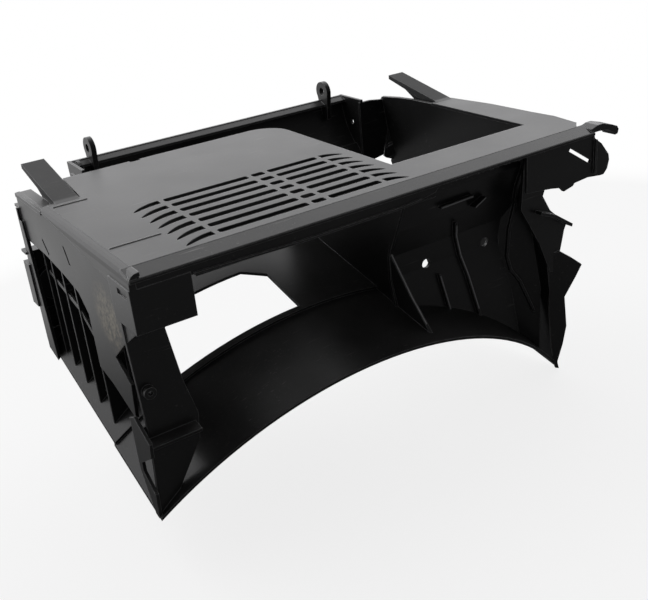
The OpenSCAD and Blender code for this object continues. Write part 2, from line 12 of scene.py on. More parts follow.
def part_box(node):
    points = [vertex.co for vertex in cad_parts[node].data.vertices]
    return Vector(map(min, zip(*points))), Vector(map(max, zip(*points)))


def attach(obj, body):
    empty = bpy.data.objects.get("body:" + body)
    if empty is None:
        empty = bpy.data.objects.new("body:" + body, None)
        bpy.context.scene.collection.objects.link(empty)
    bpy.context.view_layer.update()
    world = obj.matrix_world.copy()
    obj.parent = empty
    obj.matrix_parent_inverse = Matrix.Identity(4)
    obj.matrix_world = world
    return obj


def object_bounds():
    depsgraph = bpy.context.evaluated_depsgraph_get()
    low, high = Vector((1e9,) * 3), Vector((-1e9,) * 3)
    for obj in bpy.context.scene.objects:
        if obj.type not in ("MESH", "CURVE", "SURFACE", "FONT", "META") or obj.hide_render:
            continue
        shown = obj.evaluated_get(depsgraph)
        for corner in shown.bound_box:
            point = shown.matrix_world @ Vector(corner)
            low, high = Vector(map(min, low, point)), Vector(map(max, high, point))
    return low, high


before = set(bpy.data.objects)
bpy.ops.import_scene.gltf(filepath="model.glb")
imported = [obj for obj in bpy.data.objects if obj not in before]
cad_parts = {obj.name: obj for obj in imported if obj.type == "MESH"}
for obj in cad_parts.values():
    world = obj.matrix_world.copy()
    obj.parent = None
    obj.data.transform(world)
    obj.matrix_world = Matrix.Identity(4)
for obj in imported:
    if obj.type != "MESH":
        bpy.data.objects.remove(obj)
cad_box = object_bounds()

MM = 0.001
EAR = Vector((81.3, 275.6, 4.8))


def at(x, y, z):
    """A point drawn in millimetres from the front left corner of the top plate, in the row frame."""
    return (Vector((x, y, z)) - EAR) * MM


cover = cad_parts["panel_cover"]
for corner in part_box("panel_cover"):
    print("cover corner", [round(v, 4) for v in corner])

# %% [markdown]
# ## The camera
# The photograph was taken from the front left, a little above the part. Its perspective was worked out
# from straight edges of the moulding, so the camera is given by its place, its line of sight and its
# sideways direction. The focal length is the photograph's own, enlarged so that the part fills the frame.

# %% Camera
CAMERA_PLACE = at(-162.8, -484.5, 211.5)
LINE_OF_SIGHT = Vector((0.4697, 0.7693, -0.4330)).normalized()
SIDEWAYS = Vector((0.8278, -0.5543, -0.0868))
FOCAL_PIXELS = 509.9
ENLARGE = 1.8
FRAME_WIDTH = 648
SENSOR_WIDTH = 36

side = (SIDEWAYS - LINE_OF_SIGHT * SIDEWAYS.dot(LINE_OF_SIGHT)).normalized()
up = side.cross(LINE_OF_SIGHT)
camera_data = bpy.data.cameras.new("camera")
camera_data.sensor_width = SENSOR_WIDTH
camera_data.lens = FOCAL_PIXELS * ENLARGE / FRAME_WIDTH * SENSOR_WIDTH
camera_data.clip_start = 0.01
camera_data.clip_end = 50
camera = bpy.data.objects.new("camera", camera_data)
turn = Matrix((side, up, -LINE_OF_SIGHT)).transposed().to_4x4()
camera.matrix_world = Matrix.Translation(CAMERA_PLACE) @ turn
bpy.context.collection.objects.link(camera)
bpy.context.scene.camera = camera
print("lens", round(camera_data.lens, 2))

# %% [markdown]
# ## Floor, background and light
# Black plastic shows what stands around it more than it shows its own colour. In the photograph the plate
# mirrors a white backdrop that stands behind the part and to its left, and the fronts look into a dark
# room. The world here is built the same way: bright behind, dark in front. The floor is pale, keeps the
# shadow near the part and turns into plain white farther off, so that no horizon shows.

# %% Helpers for node trees
# A Mix node has sockets for every kind of data. These are the ones that carry colours.
MIX_A, MIX_B, MIX_RESULT = 6, 7, 2


def new_tree_material(name):
    """A material with an empty node tree, and that tree."""
    material = bpy.data.materials.new(name)
    material.use_nodes = True
    material.node_tree.nodes.clear()
    return material, material.node_tree


def add(tree, kind, place=(0, 0), **settings):
    """A node with its properties and, by socket name, its input values."""
    node = tree.nodes.new(kind)
    node.location = place
    for key, value in settings.items():
        if hasattr(node, key):
            setattr(node, key, value)
        else:
            node.inputs[key.replace("_", " ")].default_value = value
    return node


# %% [markdown]
# ## Floor
# The photograph is cut out on white, so the floor has to vanish. A pure white emitter would lose the shadow,
# and a white matte floor would throw much more light on the fronts than the dark room does. So the floor is
# dark to the light that bounces, pale to the camera, and fades into plain white with its distance. The
# glossy plate sees one side of it fade to white too, as it sees the backdrop in the photograph.

# %% Floor
FLOOR_RADIUS = 6
FLOOR_GAP = 0.0005
FLOOR_LEVEL = cad_box[0][2] - FLOOR_GAP
FADE_CENTRE = at(250, -40, 0)
FADE_START, FADE_END = 0.46, 0.80
FLOOR_SEEN, FLOOR_ITSELF = 0.91, 0.17
PALE = 0.80
MIRRORED_SIDE = (-0.8, 0.6, 0)
MIRRORED_START, MIRRORED_END, MIRRORED_MOST = 0.42, 0.72, 0.70

bpy.ops.mesh.primitive_circle_add(vertices=96, radius=FLOOR_RADIUS, fill_type="NGON", location=(0, 0, 0))
floor = bpy.context.object
floor.name = "floor"
floor.data.transform(Matrix.Translation(Vector((FADE_CENTRE.x, FADE_CENTRE.y, FLOOR_LEVEL))))

floor_paint, tree = new_tree_material("floor_paint")
where = add(tree, "ShaderNodeTexCoord", (-900, 0))
centre = add(tree, "ShaderNodeVectorMath", (-700, 0), operation="SUBTRACT")
centre.inputs[1].default_value = (FADE_CENTRE.x, FADE_CENTRE.y, FLOOR_LEVEL)
away = add(tree, "ShaderNodeVectorMath", (-520, 0), operation="LENGTH")
behind = add(tree, "ShaderNodeVectorMath", (-520, -200), operation="DOT_PRODUCT")
behind.inputs[1].default_value = MIRRORED_SIDE
mirrored = add(tree, "ShaderNodeMapRange", (-340, 500), interpolation_type="SMOOTHSTEP")
mirrored.inputs["From Min"].default_value = MIRRORED_START
mirrored.inputs["From Max"].default_value = MIRRORED_END
mirrored.inputs["To Max"].default_value = MIRRORED_MOST
fade = add(tree, "ShaderNodeMapRange", (-340, 0), interpolation_type="SMOOTHSTEP")
fade.inputs["From Min"].default_value = FADE_START
fade.inputs["From Max"].default_value = FADE_END
path = add(tree, "ShaderNodeLightPath", (-540, 300))
pale = add(tree, "ShaderNodeMath", (-240, 100), operation="MAXIMUM")
pale.inputs[1].default_value = PALE
seen = add(tree, "ShaderNodeMath", (-140, 200), operation="MULTIPLY")
glossy = add(tree, "ShaderNodeMath", (-140, 400), operation="MULTIPLY")
total = add(tree, "ShaderNodeMath", (0, 300), operation="ADD", use_clamp=True)
paint = add(tree, "ShaderNodeMix", (-340, -200), data_type="RGBA")
paint.inputs[MIX_A].default_value = (FLOOR_ITSELF, FLOOR_ITSELF, FLOOR_ITSELF, 1)
paint.inputs[MIX_B].default_value = (FLOOR_SEEN, FLOOR_SEEN, FLOOR_SEEN, 1)
matte = add(tree, "ShaderNodeBsdfDiffuse", (-140, 0))
white = add(tree, "ShaderNodeEmission", (-140, -160))
white.inputs["Color"].default_value = (1, 1, 1, 1)
mixed = add(tree, "ShaderNodeMixShader", (100, 0))
out = add(tree, "ShaderNodeOutputMaterial", (300, 0))
tree.links.new(where.outputs["Object"], centre.inputs[0])
tree.links.new(centre.outputs[0], away.inputs[0])
tree.links.new(away.outputs["Value"], fade.inputs["Value"])
tree.links.new(centre.outputs[0], behind.inputs[0])
tree.links.new(behind.outputs["Value"], mirrored.inputs["Value"])
tree.links.new(fade.outputs["Result"], pale.inputs[0])
tree.links.new(pale.outputs[0], seen.inputs[0])
tree.links.new(path.outputs["Is Camera Ray"], seen.inputs[1])
tree.links.new(mirrored.outputs["Result"], glossy.inputs[0])
tree.links.new(path.outputs["Is Glossy Ray"], glossy.inputs[1])
tree.links.new(seen.outputs[0], total.inputs[0])
tree.links.new(glossy.outputs[0], total.inputs[1])
tree.links.new(path.outputs["Is Camera Ray"], paint.inputs["Factor"])
tree.links.new(paint.outputs[MIX_RESULT], matte.inputs["Color"])
tree.links.new(total.outputs[0], mixed.inputs["Fac"])
tree.links.new(matte.outputs[0], mixed.inputs[1])
tree.links.new(white.outputs[0], mixed.inputs[2])
tree.links.new(mixed.outputs[0], out.inputs["Surface"])
floor.data.materials.append(floor_paint)
print("floor level", round(FLOOR_LEVEL, 4))

# %% [markdown]
# ## Room
# The room could be built from walls and cards. A world that is bright in one direction does the same with
# less noise: light comes from a tall card behind the part, and the card ends some way below the ceiling. The
# camera itself sees plain white.

# %% Room
BACKDROP = Vector((0.25, 0.95, 0.20)).normalized()
ROOM_DARK, ROOM_BRIGHT = 0.10, 1.42
TURN_START, TURN_END = -0.10, 0.45
CARD_TOP, CARD_GONE, CEILING = 0.86, 0.97, 0.4

world = bpy.data.worlds.new("studio")
bpy.context.scene.world = world
world.use_nodes = True
tree = world.node_tree
tree.nodes.clear()
where = add(tree, "ShaderNodeTexCoord", (-900, 0))
facing = add(tree, "ShaderNodeVectorMath", (-700, 0), operation="DOT_PRODUCT")
facing.inputs[1].default_value = BACKDROP
level = add(tree, "ShaderNodeMapRange", (-500, 0), interpolation_type="SMOOTHSTEP")
level.inputs["From Min"].default_value = TURN_START
level.inputs["From Max"].default_value = TURN_END
level.inputs["To Min"].default_value = ROOM_DARK
level.inputs["To Max"].default_value = ROOM_BRIGHT
height = add(tree, "ShaderNodeSeparateXYZ", (-700, -250))
card = add(tree, "ShaderNodeMapRange", (-500, -250), interpolation_type="SMOOTHSTEP")
card.inputs["From Min"].default_value = CARD_TOP
card.inputs["From Max"].default_value = CARD_GONE
card.inputs["To Min"].default_value = 1
card.inputs["To Max"].default_value = CEILING
shade = add(tree, "ShaderNodeMath", (-340, -100), operation="MULTIPLY")
path = add(tree, "ShaderNodeLightPath", (-500, 300))
room = add(tree, "ShaderNodeBackground", (-200, 0))
room.inputs["Color"].default_value = (0.99, 0.99, 1.0, 1)
bright = add(tree, "ShaderNodeBackground", (-200, -160))
bright.inputs["Color"].default_value = (1, 1, 1, 1)
mixed = add(tree, "ShaderNodeMixShader", (0, 0))
out = add(tree, "ShaderNodeOutputWorld", (200, 0))
tree.links.new(where.outputs["Generated"], facing.inputs[0])
tree.links.new(facing.outputs["Value"], level.inputs["Value"])
tree.links.new(where.outputs["Generated"], height.inputs[0])
tree.links.new(height.outputs["Z"], card.inputs["Value"])
tree.links.new(level.outputs["Result"], shade.inputs[0])
tree.links.new(card.outputs["Result"], shade.inputs[1])
tree.links.new(shade.outputs[0], room.inputs["Strength"])
tree.links.new(path.outputs["Is Camera Ray"], mixed.inputs["Fac"])
tree.links.new(room.outputs[0], mixed.inputs[1])
tree.links.new(bright.outputs[0], mixed.inputs[2])
tree.links.new(mixed.outputs[0], out.inputs["Surface"])

# %% [markdown]
# ## Lamp
# One weak soft lamp from behind gives the shadow on the floor a direction. It is kept low, so that the
# colours render about as they are written.

# %% Lamps
KEY_PLACE, KEY_TARGET = (-350, 900, 950), (200, 120, -40)
KEY_SIZE, KEY_POWER = 0.6, 2.2


def soft_lamp(name, place, target, width, height, power):
    """A rectangular lamp that looks at a point, both given in millimetres from the plate's corner."""
    data = bpy.data.lights.new(name, "AREA")
    data.shape = "RECTANGLE"
    data.size = width
    data.size_y = height
    data.energy = power
    lamp = bpy.data.objects.new(name, data)
    bpy.context.collection.objects.link(lamp)
    lamp.location = at(*place)
    aim = at(*target) - lamp.location
    lamp.rotation_euler = aim.to_track_quat("-Z", "Y").to_euler()
    return lamp


soft_lamp("key_lamp", KEY_PLACE, KEY_TARGET, KEY_SIZE, KEY_SIZE, KEY_POWER)

# %% [markdown]
# ## Black plastic
# The moulding is dyed right through, so wear does not change its colour much. What the eye reads is the
# sheen: a fine spark-eroded grain, slightly smoother on rubbed edges that are also painted pale, partly as
# wear and partly as a painted highlight, and a little pale dust on the faces that look up. Each effect is a
# group of its own, because the plain plastic and the painted highlights on the rib edges both use it, with
# their own values.

# %% Start of a shader group


def shader_group(name, inputs, outputs):
    """An empty node group with named sockets; inputs are (name, kind, default)."""
    group = bpy.data.node_groups.new(name, "ShaderNodeTree")
    for label, kind, value in inputs:
        socket = group.interface.new_socket(label, in_out="INPUT", socket_type=kind)
        if value is not None:
            socket.default_value = value
    for label, kind in outputs:
        group.interface.new_socket(label, in_out="OUTPUT", socket_type=kind)
    start = group.nodes.new("NodeGroupInput")
    start.location = (-1000, 0)
    end = group.nodes.new("NodeGroupOutput")
    end.location = (600, 0)
    return group, start, end


# %% [markdown]
# ## Grain
# A spark-eroded mould leaves a fine matt grain on every face. Modelled grain would need millions of faces,
# so noise and small cells give the height for a bump, and a slow blotch varies the sheen as uneven flow does.

# %% Moulded grain


def moulded_grain():
    """Height of a fine eroded grain, and a slow blotch that varies the sheen."""
    group, start, end = shader_group(
        "moulded_grain",
        [("Vector", "NodeSocketVector", None),
         ("Grain Size", "NodeSocketFloat", 0.0009),
         ("Blotch Size", "NodeSocketFloat", 0.06)],
        [("Height", "NodeSocketFloat"), ("Blotch", "NodeSocketFloat")])
    per_grain = add(group, "ShaderNodeMath", (-800, 200), operation="DIVIDE")
    per_grain.inputs[0].default_value = 1
    per_blotch = add(group, "ShaderNodeMath", (-800, -200), operation="DIVIDE")
    per_blotch.inputs[0].default_value = 1
    fine = add(group, "ShaderNodeTexNoise", (-500, 250), Detail=2.5, Roughness=0.6)
    cells = add(group, "ShaderNodeTexVoronoi", (-500, 0), feature="SMOOTH_F1")
    cells.inputs["Smoothness"].default_value = 0.6
    slow = add(group, "ShaderNodeTexNoise", (-500, -250), Detail=3, Roughness=0.5)
    both = add(group, "ShaderNodeMath", (-200, 150), operation="MULTIPLY_ADD")
    both.inputs[1].default_value = 0.5
    for node, factor in ((fine, per_grain), (cells, per_grain), (slow, per_blotch)):
        group.links.new(start.outputs["Vector"], node.inputs["Vector"])
        group.links.new(factor.outputs[0], node.inputs["Scale"])
    group.links.new(start.outputs["Grain Size"], per_grain.inputs[1])
    group.links.new(start.outputs["Blotch Size"], per_blotch.inputs[1])
    group.links.new(cells.outputs["Distance"], both.inputs[0])
    group.links.new(fine.outputs["Fac"], both.inputs[2])
    group.links.new(both.outputs[0], end.inputs["Height"])
    group.links.new(slow.outputs["Fac"], end.inputs["Blotch"])
    return group


GRAIN = moulded_grain()
print("grain nodes", len(GRAIN.nodes))

# %% [markdown]
# ## Worn edges and painted edge highlight
# Where edges stick out, handling has rubbed them pale, and the same pale colour is also a painted highlight
# on the edges. A real bevel on every edge of the moulding would be heavy. A softened normal differs from the
# true one only near an edge, so the difference is the mask, and the softened normal itself catches the light
# as a small radius does.

# %% Worn edges and painted edge highlight


def edge_wear_and_highlight():
    """1 on edges that stick out, broken up by noise, for wear and a painted highlight, and the softened
    normal of the moulding's edges.
    """
    group, start, end = shader_group(
        "edge_wear_and_highlight",
        [("Vector", "NodeSocketVector", None),
         ("Width", "NodeSocketFloat", 0.0009),
         ("Breakup", "NodeSocketFloat", 0.5)],
        [("Mask", "NodeSocketFloat"), ("Normal", "NodeSocketVector")])
    soft = add(group, "ShaderNodeBevel", (-700, 100), samples=6)
    plain = add(group, "ShaderNodeNewGeometry", (-700, -100))
    same = add(group, "ShaderNodeVectorMath", (-500, 0), operation="DOT_PRODUCT")
    bend = add(group, "ShaderNodeMapRange", (-300, 0))
    bend.inputs["From Min"].default_value = 0.985
    bend.inputs["From Max"].default_value = 0.82
    noise = add(group, "ShaderNodeTexNoise", (-500, -300), Scale=240, Detail=2)
    broken = add(group, "ShaderNodeMapRange", (-300, -300))
    broken.inputs["From Min"].default_value = 0.35
    broken.inputs["From Max"].default_value = 0.65
    weak = add(group, "ShaderNodeMath", (-100, -300), operation="SUBTRACT")
    weak.inputs[0].default_value = 1
    some = add(group, "ShaderNodeMath", (60, -300), operation="MULTIPLY")
    keep = add(group, "ShaderNodeMath", (220, -300), operation="SUBTRACT")
    keep.inputs[0].default_value = 1
    mask = add(group, "ShaderNodeMath", (400, -100), operation="MULTIPLY")
    group.links.new(start.outputs["Vector"], noise.inputs["Vector"])
    group.links.new(start.outputs["Width"], soft.inputs["Radius"])
    group.links.new(soft.outputs["Normal"], same.inputs[0])
    group.links.new(plain.outputs["Normal"], same.inputs[1])
    group.links.new(same.outputs["Value"], bend.inputs["Value"])
    group.links.new(noise.outputs["Fac"], broken.inputs["Value"])
    group.links.new(broken.outputs["Result"], weak.inputs[1])
    group.links.new(weak.outputs[0], some.inputs[0])
    group.links.new(start.outputs["Breakup"], some.inputs[1])
    group.links.new(some.outputs[0], keep.inputs[1])
    group.links.new(bend.outputs["Result"], mask.inputs[0])
    group.links.new(keep.outputs[0], mask.inputs[1])
    group.links.new(mask.outputs[0], end.inputs["Mask"])
    group.links.new(soft.outputs["Normal"], end.inputs["Normal"])
    return group


EDGES = edge_wear_and_highlight()
print("edge nodes", len(EDGES.nodes))

# %% [markdown]
# ## Dust
# Dust lies only where it can settle. The upward part of the normal says where that is, and noise breaks the
# layer into soft patches.

# %% Settled dust


def settled_dust():
    """Thin dust on faces that look up, in soft patches."""
    group, start, end = shader_group(
        "settled_dust",
        [("Vector", "NodeSocketVector", None),
         ("Amount", "NodeSocketFloat", 0.3),
         ("Patch Size", "NodeSocketFloat", 0.05)],
        [("Mask", "NodeSocketFloat")])
    plain = add(group, "ShaderNodeNewGeometry", (-700, 200))
    parts = add(group, "ShaderNodeSeparateXYZ", (-500, 200))
    upward = add(group, "ShaderNodeMapRange", (-300, 200))
    upward.inputs["From Min"].default_value = 0.35
    upward.inputs["From Max"].default_value = 1.0
    per_patch = add(group, "ShaderNodeMath", (-800, -200), operation="DIVIDE")
    per_patch.inputs[0].default_value = 1
    patch = add(group, "ShaderNodeTexNoise", (-500, -200), Detail=5, Roughness=0.65)
    spread = add(group, "ShaderNodeMapRange", (-300, -200))
    spread.inputs["From Min"].default_value = 0.3
    spread.inputs["From Max"].default_value = 0.7
    first = add(group, "ShaderNodeMath", (0, 0), operation="MULTIPLY")
    last = add(group, "ShaderNodeMath", (200, 0), operation="MULTIPLY")
    group.links.new(plain.outputs["Normal"], parts.inputs[0])
    group.links.new(parts.outputs["Z"], upward.inputs["Value"])
    group.links.new(start.outputs["Patch Size"], per_patch.inputs[1])
    group.links.new(start.outputs["Vector"], patch.inputs["Vector"])
    group.links.new(per_patch.outputs[0], patch.inputs["Scale"])
    group.links.new(patch.outputs["Fac"], spread.inputs["Value"])
    group.links.new(upward.outputs["Result"], first.inputs[0])
    group.links.new(spread.outputs["Result"], first.inputs[1])
    group.links.new(first.outputs[0], last.inputs[0])
    group.links.new(start.outputs["Amount"], last.inputs[1])
    group.links.new(last.outputs[0], end.inputs["Mask"])
    return group


DUST = settled_dust()
print("dust nodes", len(DUST.nodes))

# %% [markdown]
# ## Handling marks
# The part is used, and carries pale specks and short scratches. Noise that is squeezed in one direction
# gives scratches, plain noise gives specks, and a slower noise leaves most of the surface clean.

# %% Handling marks


def handling_marks():
    """Sparse pale specks and short scratches, as on a part that has lain in a workshop."""
    group, start, end = shader_group(
        "handling_marks",
        [("Vector", "NodeSocketVector", None),
         ("Speck Size", "NodeSocketFloat", 0.0022),
         ("Amount", "NodeSocketFloat", 0.5)],
        [("Mask", "NodeSocketFloat")])
    per_speck = add(group, "ShaderNodeMath", (-900, 200), operation="DIVIDE")
    per_speck.inputs[0].default_value = 1
    specks = add(group, "ShaderNodeTexNoise", (-650, 250), Detail=4, Roughness=0.75)
    few = add(group, "ShaderNodeMapRange", (-450, 250))
    few.inputs["From Min"].default_value = 0.60
    few.inputs["From Max"].default_value = 0.78
    squeeze = add(group, "ShaderNodeMapping", (-850, -100))
    squeeze.inputs["Rotation"].default_value = (0.5, 0.3, 0.9)
    squeeze.inputs["Scale"].default_value = (30, 700, 400)
    lines = add(group, "ShaderNodeTexNoise", (-650, -100), Scale=1, Detail=1)
    thin = add(group, "ShaderNodeMapRange", (-450, -100))
    thin.inputs["From Min"].default_value = 0.70
    thin.inputs["From Max"].default_value = 0.80
    where = add(group, "ShaderNodeTexNoise", (-650, -400), Scale=22, Detail=3)
    patch = add(group, "ShaderNodeMapRange", (-450, -400))
    patch.inputs["From Min"].default_value = 0.42
    patch.inputs["From Max"].default_value = 0.66
    either = add(group, "ShaderNodeMath", (-200, 100), operation="MAXIMUM")
    inside = add(group, "ShaderNodeMath", (0, 0), operation="MULTIPLY")
    last = add(group, "ShaderNodeMath", (200, 0), operation="MULTIPLY")
    group.links.new(start.outputs["Speck Size"], per_speck.inputs[1])
    for node in (specks, squeeze, where):
        group.links.new(start.outputs["Vector"], node.inputs["Vector"])
    group.links.new(per_speck.outputs[0], specks.inputs["Scale"])
    group.links.new(squeeze.outputs["Vector"], lines.inputs["Vector"])
    group.links.new(specks.outputs["Fac"], few.inputs["Value"])
    group.links.new(lines.outputs["Fac"], thin.inputs["Value"])
    group.links.new(where.outputs["Fac"], patch.inputs["Value"])
    group.links.new(few.outputs["Result"], either.inputs[0])
    group.links.new(thin.outputs["Result"], either.inputs[1])
    group.links.new(either.outputs[0], inside.inputs[0])
    group.links.new(patch.outputs["Result"], inside.inputs[1])
    group.links.new(inside.outputs[0], last.inputs[0])
    group.links.new(start.outputs["Amount"], last.inputs[1])
    group.links.new(last.outputs[0], end.inputs["Mask"])
    return group


MARKS = handling_marks()
print("mark nodes", len(MARKS.nodes))

# %% [markdown]
# ## Zones of the mould
# Not every face of the mould has the same finish. The strip along the front is smoother, the two tabs are
# duller, and the left flange has a rubbed, sandy patch. The zones could be painted, but the moulding has no
# UV map, so each zone is a soft band or a soft ball in the coordinates of the part.

# %% Zones of the mould
STRIP_FRONT, STRIP_REAR, STRIP_LOW, STRIP_HIGH = -2, 13.3, -4.4, 1
TABS_FRONT, TABS_REAR, TABS_LOW, TABS_HIGH = 169, 245, 0.3, 17
SAND_CENTRE = (2, 62, -52)
SAND_EDGE, SAND_CORE = 0.030, 0.010
SHARP_END, SOFT_END = 0.0003, 0.0015


def band(group, socket, low, high, soft, x, y):
    """1 where a coordinate lies between two values, with soft ends; returns the last node."""
    rise = add(group, "ShaderNodeMapRange", (x, y + 120), interpolation_type="SMOOTHSTEP")
    rise.inputs["From Min"].default_value = low - soft
    rise.inputs["From Max"].default_value = low + soft
    fall = add(group, "ShaderNodeMapRange", (x, y - 120), interpolation_type="SMOOTHSTEP")
    fall.inputs["From Min"].default_value = high + soft
    fall.inputs["From Max"].default_value = high - soft
    both = add(group, "ShaderNodeMath", (x + 200, y), operation="MULTIPLY")
    group.links.new(socket, rise.inputs["Value"])
    group.links.new(socket, fall.inputs["Value"])
    group.links.new(rise.outputs["Result"], both.inputs[0])
    group.links.new(fall.outputs["Result"], both.inputs[1])
    return both


def mould_zones():
    """Masks for the smooth strip along the front, the dull tabs and the sandy patch."""
    group, start, end = shader_group(
        "mould_zones",
        [("Vector", "NodeSocketVector", None)],
        [("Strip", "NodeSocketFloat"), ("Tabs", "NodeSocketFloat"), ("Sandy", "NodeSocketFloat")])
    parts = add(group, "ShaderNodeSeparateXYZ", (-800, 0))
    group.links.new(start.outputs["Vector"], parts.inputs[0])
    depth, height = parts.outputs["Y"], parts.outputs["Z"]
    front, rear = at(0, STRIP_FRONT, STRIP_LOW), at(0, STRIP_REAR, STRIP_HIGH)
    strip_y = band(group, depth, front.y, rear.y, SHARP_END, -600, 300)
    strip_z = band(group, height, front.z, rear.z, SHARP_END, -600, 0)
    strip = add(group, "ShaderNodeMath", (0, 200), operation="MULTIPLY")
    group.links.new(strip_y.outputs[0], strip.inputs[0])
    group.links.new(strip_z.outputs[0], strip.inputs[1])
    front, rear = at(0, TABS_FRONT, TABS_LOW), at(0, TABS_REAR, TABS_HIGH)
    tabs_y = band(group, depth, front.y, rear.y, SOFT_END, -600, -300)
    tabs_z = band(group, height, front.z, rear.z, SHARP_END, -600, -600)
    tabs = add(group, "ShaderNodeMath", (0, -400), operation="MULTIPLY")
    group.links.new(tabs_y.outputs[0], tabs.inputs[0])
    group.links.new(tabs_z.outputs[0], tabs.inputs[1])
    rubbed = add(group, "ShaderNodeVectorMath", (-600, -900), operation="DISTANCE")
    rubbed.inputs[1].default_value = at(*SAND_CENTRE)
    near = add(group, "ShaderNodeMapRange", (-400, -900), interpolation_type="SMOOTHSTEP")
    near.inputs["From Min"].default_value = SAND_EDGE
    near.inputs["From Max"].default_value = SAND_CORE
    sand = add(group, "ShaderNodeTexNoise", (-600, -1100), Scale=260, Detail=4, Roughness=0.7)
    loose = add(group, "ShaderNodeMapRange", (-400, -1100))
    loose.inputs["From Min"].default_value = 0.40
    loose.inputs["From Max"].default_value = 0.66
    sandy = add(group, "ShaderNodeMath", (0, -900), operation="MULTIPLY")
    group.links.new(start.outputs["Vector"], rubbed.inputs[0])
    group.links.new(rubbed.outputs["Value"], near.inputs["Value"])
    group.links.new(start.outputs["Vector"], sand.inputs["Vector"])
    group.links.new(sand.outputs["Fac"], loose.inputs["Value"])
    group.links.new(near.outputs["Result"], sandy.inputs[0])
    group.links.new(loose.outputs["Result"], sandy.inputs[1])
    group.links.new(sandy.outputs[0], end.inputs["Sandy"])
    group.links.new(strip.outputs[0], end.inputs["Strip"])
    group.links.new(tabs.outputs[0], end.inputs["Tabs"])
    return group


ZONES = mould_zones()
print("groups", [g.name for g in bpy.data.node_groups])

# %% [markdown]
# ## The plastic itself
# Dyed plastic is a dark base under a clear smooth skin, which one Principled shader gives. The groups change
# its colour from below upwards: wear and a painted highlight on the edges, scuffs, dust and sand. They change
# its roughness too. The shader stays in the material, so that the export can read it.

# %% The plastic
# The pale edge colour is partly wear and partly a painted highlight on the edges.
WORN_AND_HIGHLIT = (0.34, 0.34, 0.345, 1)
SCUFFED = (0.30, 0.295, 0.285, 1)
DUSTY = (0.16, 0.155, 0.15, 1)
SAND = (0.30, 0.26, 0.19, 1)
DUST_AMOUNT, DUST_DULLS = 0.16, 0.25
STRIP_SHINES, TABS_DULL = -0.13, 0.30


